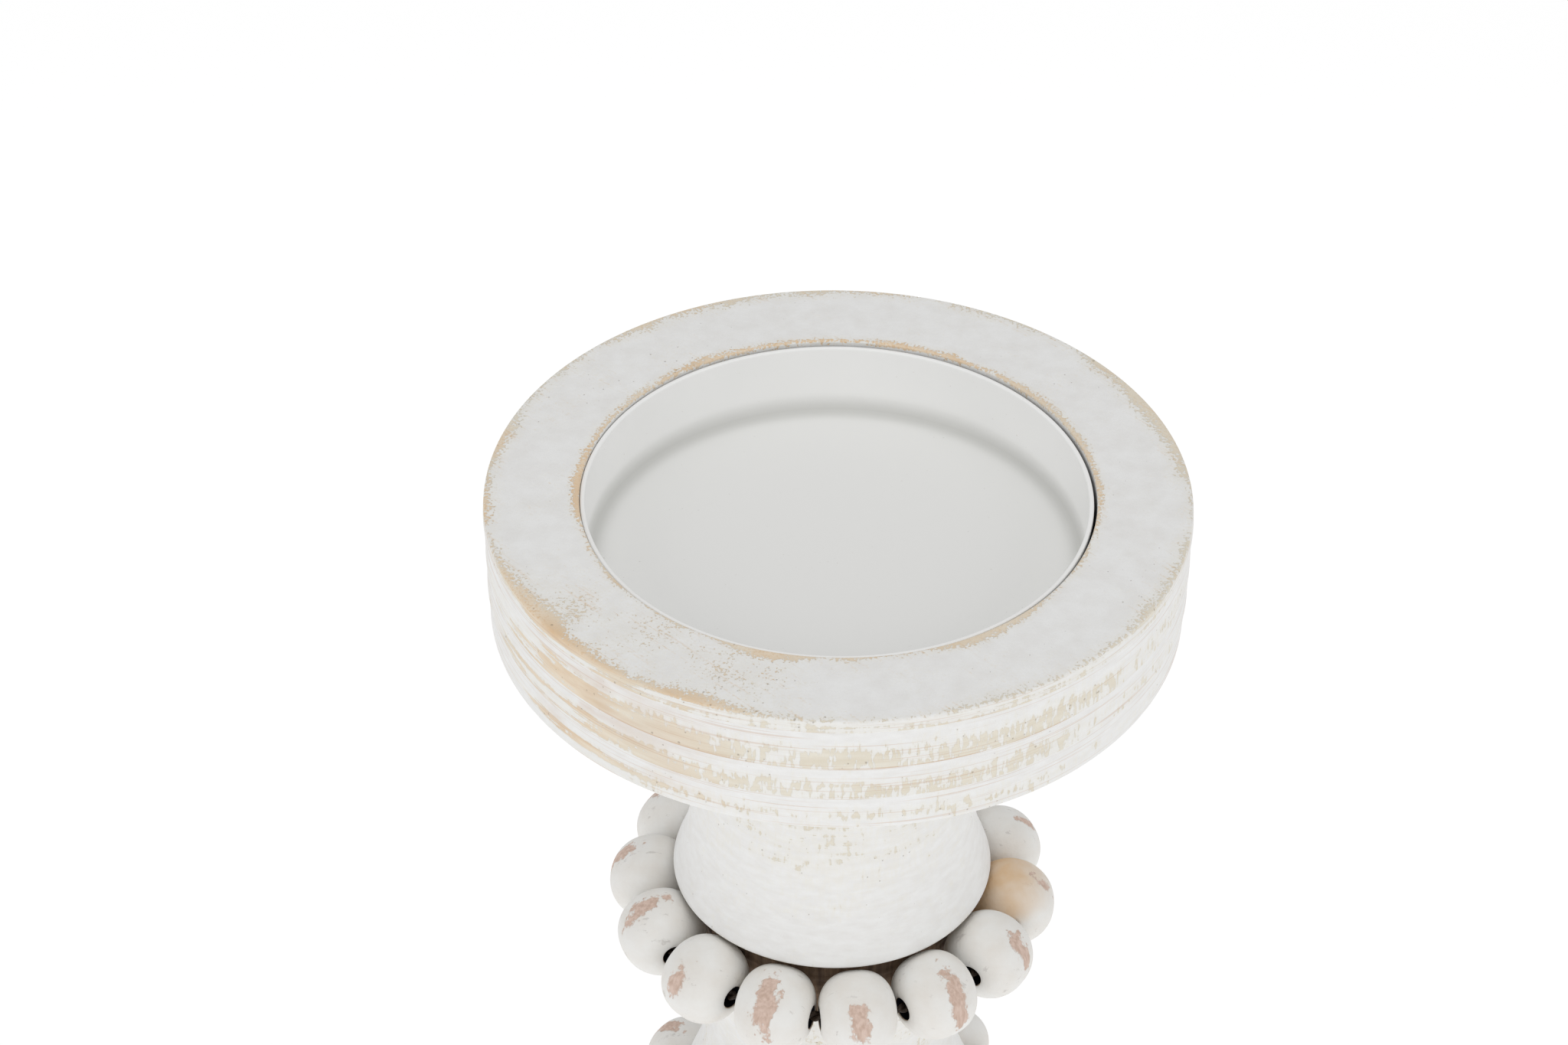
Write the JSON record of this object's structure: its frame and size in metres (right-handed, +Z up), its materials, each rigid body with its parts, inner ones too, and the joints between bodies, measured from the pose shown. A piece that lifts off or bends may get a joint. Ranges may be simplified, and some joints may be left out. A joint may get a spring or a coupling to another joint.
{
  "type": "candlestick",
  "caption": "Tall turned candlestick in whitewashed wood: wide cup with a lift-out metal liner, stacked column with bead strings in its grooves, wide round base.",
  "frame": {"origin": "centre of the underside, on the surface that the candlestick stands on", "axes": "+Z up along the turned axis; -Y is the front"},
  "size_m": [0.1246, 0.1246, 0.254],
  "materials": {
    "washed_wood": "white wash sanded back to pale wood at edges and ridges",
    "bead_wood": "matt white wash with bare pinkish-brown patches",
    "bare_wood": "unpainted brown wood",
    "liner_enamel": "satin white",
    "steel": "zinc plated",
    "bead_cord": "twisted brown cord",
    "felt": "off-white felt"
  },
  "bodies": {
    "candlestick": {"candle_cup": "washed_wood", "bell_section": "washed_wood", "upper_neck": "bare_wood", "spool_section": "washed_wood", "lower_neck": "bare_wood", "foot_section": "washed_wood", "base_disc": "washed_wood", "felt_pad": "felt", "threaded_rod": "steel", "rod_nuts": "steel", "rod_washers": "steel"},
    "liner": {"metal_liner": "liner_enamel"},
    "upper_string": {"upper_cord": "bead_cord"},
    "lower_string": {"lower_cord": "bead_cord"},
    "upper_bead_01": {"upper_bead_01": "bead_wood"},
    "upper_bead_02": {"upper_bead_02": "bead_wood"},
    "upper_bead_03": {"upper_bead_03": "bead_wood"},
    "upper_bead_04": {"upper_bead_04": "bead_wood"},
    "upper_bead_05": {"upper_bead_05": "bead_wood"},
    "upper_bead_06": {"upper_bead_06": "bead_wood"},
    "upper_bead_07": {"upper_bead_07": "bead_wood"},
    "upper_bead_08": {"upper_bead_08": "bead_wood"},
    "upper_bead_09": {"upper_bead_09": "bead_wood"},
    "upper_bead_10": {"upper_bead_10": "bead_wood"},
    "upper_bead_11": {"upper_bead_11": "bead_wood"},
    "upper_bead_12": {"upper_bead_12": "bead_wood"},
    "upper_bead_13": {"upper_bead_13": "bead_wood"},
    "upper_bead_14": {"upper_bead_14": "bead_wood"},
    "lower_bead_01": {"lower_bead_01": "bead_wood"},
    "lower_bead_02": {"lower_bead_02": "bead_wood"},
    "lower_bead_03": {"lower_bead_03": "bead_wood"},
    "lower_bead_04": {"lower_bead_04": "bead_wood"},
    "lower_bead_05": {"lower_bead_05": "bead_wood"},
    "lower_bead_06": {"lower_bead_06": "bead_wood"},
    "lower_bead_07": {"lower_bead_07": "bead_wood"},
    "lower_bead_08": {"lower_bead_08": "bead_wood"},
    "lower_bead_09": {"lower_bead_09": "bead_wood"},
    "lower_bead_10": {"lower_bead_10": "bead_wood"},
    "lower_bead_11": {"lower_bead_11": "bead_wood"},
    "lower_bead_12": {"lower_bead_12": "bead_wood"},
    "lower_bead_13": {"lower_bead_13": "bead_wood"},
    "lower_bead_14": {"lower_bead_14": "bead_wood"}
  },
  "joints": [
    {"name": "liner_lift", "type": "slide", "parent": "candlestick", "child": "liner", "axis": [0, 0, 1], "range_m": [0, 0.03]},
    {"name": "upper_string_turn", "type": "hinge", "parent": "candlestick", "child": "upper_string", "pos_m": [0, 0, 0.1621], "axis": [0, 0, 1], "continuous": true},
    {"name": "lower_string_turn", "type": "hinge", "parent": "candlestick", "child": "lower_string", "pos_m": [0, 0, 0.1001], "axis": [0, 0, 1], "continuous": true},
    {"name": "upper_bead_01_spin", "type": "hinge", "parent": "upper_string", "child": "upper_bead_01", "pos_m": [0.00498, -0.03252, 0.1621], "axis": [0.9885, 0.1513, 0], "continuous": true},
    {"name": "upper_bead_02_spin", "type": "hinge", "parent": "upper_string", "child": "upper_bead_02", "pos_m": [0.01859, -0.02714, 0.1621], "axis": [0.825, 0.5652, 0], "continuous": true},
    {"name": "upper_bead_03_spin", "type": "hinge", "parent": "upper_string", "child": "upper_bead_03", "pos_m": [0.02853, -0.01639, 0.1621], "axis": [0.4981, 0.8671, 0], "continuous": true},
    {"name": "upper_bead_04_spin", "type": "hinge", "parent": "upper_string", "child": "upper_bead_04", "pos_m": [0.03281, -0.00238, 0.1621], "axis": [0.0725, 0.9974, 0], "continuous": true},
    {"name": "upper_bead_05_spin", "type": "hinge", "parent": "upper_string", "child": "upper_bead_05", "pos_m": [0.0306, 0.01209, 0.1621], "axis": [-0.3674, 0.9301, 0], "continuous": true},
    {"name": "upper_bead_06_spin", "type": "hinge", "parent": "upper_string", "child": "upper_bead_06", "pos_m": [0.02232, 0.02417, 0.1621], "axis": [-0.7346, 0.6785, 0], "continuous": true},
    {"name": "upper_bead_07_spin", "type": "hinge", "parent": "upper_string", "child": "upper_bead_07", "pos_m": [0.00963, 0.03146, 0.1621], "axis": [-0.9562, 0.2926, 0], "continuous": true},
    {"name": "upper_bead_08_spin", "type": "hinge", "parent": "upper_string", "child": "upper_bead_08", "pos_m": [-0.00498, 0.03252, 0.1621], "axis": [-0.9885, -0.1513, 0], "continuous": true},
    {"name": "upper_bead_09_spin", "type": "hinge", "parent": "upper_string", "child": "upper_bead_09", "pos_m": [-0.01859, 0.02714, 0.1621], "axis": [-0.825, -0.5652, 0], "continuous": true},
    {"name": "upper_bead_10_spin", "type": "hinge", "parent": "upper_string", "child": "upper_bead_10", "pos_m": [-0.02853, 0.01639, 0.1621], "axis": [-0.4981, -0.8671, 0], "continuous": true},
    {"name": "upper_bead_11_spin", "type": "hinge", "parent": "upper_string", "child": "upper_bead_11", "pos_m": [-0.03281, 0.00238, 0.1621], "axis": [-0.0725, -0.9974, 0], "continuous": true},
    {"name": "upper_bead_12_spin", "type": "hinge", "parent": "upper_string", "child": "upper_bead_12", "pos_m": [-0.0306, -0.01209, 0.1621], "axis": [0.3674, -0.9301, 0], "continuous": true},
    {"name": "upper_bead_13_spin", "type": "hinge", "parent": "upper_string", "child": "upper_bead_13", "pos_m": [-0.02232, -0.02417, 0.1621], "axis": [0.7346, -0.6785, 0], "continuous": true},
    {"name": "upper_bead_14_spin", "type": "hinge", "parent": "upper_string", "child": "upper_bead_14", "pos_m": [-0.00963, -0.03146, 0.1621], "axis": [0.9562, -0.2926, 0], "continuous": true},
    {"name": "lower_bead_01_spin", "type": "hinge", "parent": "lower_string", "child": "lower_bead_01", "pos_m": [0.00321, -0.03274, 0.1001], "axis": [0.9952, 0.0976, 0], "continuous": true},
    {"name": "lower_bead_02_spin", "type": "hinge", "parent": "lower_string", "child": "lower_bead_02", "pos_m": [0.0171, -0.02811, 0.1001], "axis": [0.8543, 0.5197, 0], "continuous": true},
    {"name": "lower_bead_03_spin", "type": "hinge", "parent": "lower_string", "child": "lower_bead_03", "pos_m": [0.0276, -0.01791, 0.1001], "axis": [0.5442, 0.8389, 0], "continuous": true},
    {"name": "lower_bead_04_spin", "type": "hinge", "parent": "lower_string", "child": "lower_bead_04", "pos_m": [0.03264, -0.00416, 0.1001], "axis": [0.1263, 0.992, 0], "continuous": true},
    {"name": "lower_bead_05_spin", "type": "hinge", "parent": "lower_string", "child": "lower_bead_05", "pos_m": [0.03121, 0.01042, 0.1001], "axis": [-0.3166, 0.9486, 0], "continuous": true},
    {"name": "lower_bead_06_spin", "type": "hinge", "parent": "lower_string", "child": "lower_bead_06", "pos_m": [0.0236, 0.02293, 0.1001], "axis": [-0.6968, 0.7173, 0], "continuous": true},
    {"name": "lower_bead_07_spin", "type": "hinge", "parent": "lower_string", "child": "lower_bead_07", "pos_m": [0.01131, 0.03089, 0.1001], "axis": [-0.939, 0.3439, 0], "continuous": true},
    {"name": "lower_bead_08_spin", "type": "hinge", "parent": "lower_string", "child": "lower_bead_08", "pos_m": [-0.00321, 0.03274, 0.1001], "axis": [-0.9952, -0.0976, 0], "continuous": true},
    {"name": "lower_bead_09_spin", "type": "hinge", "parent": "lower_string", "child": "lower_bead_09", "pos_m": [-0.0171, 0.02811, 0.1001], "axis": [-0.8543, -0.5197, 0], "continuous": true},
    {"name": "lower_bead_10_spin", "type": "hinge", "parent": "lower_string", "child": "lower_bead_10", "pos_m": [-0.0276, 0.01791, 0.1001], "axis": [-0.5442, -0.8389, 0], "continuous": true},
    {"name": "lower_bead_11_spin", "type": "hinge", "parent": "lower_string", "child": "lower_bead_11", "pos_m": [-0.03264, 0.00416, 0.1001], "axis": [-0.1263, -0.992, 0], "continuous": true},
    {"name": "lower_bead_12_spin", "type": "hinge", "parent": "lower_string", "child": "lower_bead_12", "pos_m": [-0.03121, -0.01042, 0.1001], "axis": [0.3166, -0.9486, 0], "continuous": true},
    {"name": "lower_bead_13_spin", "type": "hinge", "parent": "lower_string", "child": "lower_bead_13", "pos_m": [-0.0236, -0.02293, 0.1001], "axis": [0.6968, -0.7173, 0], "continuous": true},
    {"name": "lower_bead_14_spin", "type": "hinge", "parent": "lower_string", "child": "lower_bead_14", "pos_m": [-0.01131, -0.03089, 0.1001], "axis": [0.939, -0.3439, 0], "continuous": true}
  ]
}
